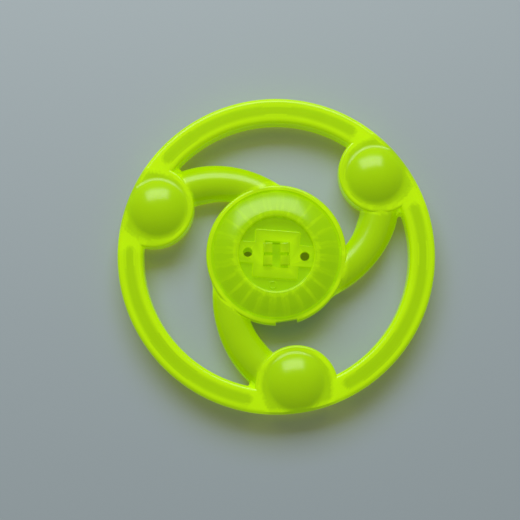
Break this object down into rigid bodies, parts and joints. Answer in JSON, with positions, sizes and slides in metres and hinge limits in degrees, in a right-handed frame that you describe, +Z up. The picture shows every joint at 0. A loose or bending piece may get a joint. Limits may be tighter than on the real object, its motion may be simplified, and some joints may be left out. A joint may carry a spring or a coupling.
{
  "type": "fidget spinner",
  "caption": "Ring-shaped fidget spinner in clear tinted plastic: domed knobs on spiral arms and a ribbed hub turning freely between two clipped finger pads.",
  "frame": {"origin": "on the spin axis, in the plane the lower finger pad stands on", "axes": "+Z up along the spin axis, towards the upper finger pad; +X to the right in the front view"},
  "size_m": [0.065, 0.065, 0.0083],
  "materials": {
    "rotor_plastic": "injection-moulded translucent fluorescent yellow-green polystyrene, polished mould",
    "pad_plastic": "the same translucent fluorescent polystyrene, polished mould"
  },
  "bodies": {
    "finger_pads": {"lower_finger_pad": "pad_plastic", "upper_finger_pad": "pad_plastic"},
    "rotor": {"rotor": "rotor_plastic"}
  },
  "joints": [
    {"name": "spin", "type": "hinge", "parent": "finger_pads", "child": "rotor", "pos_m": [0, 0, 0.0037], "axis": [0, 0, 1], "continuous": true}
  ]
}
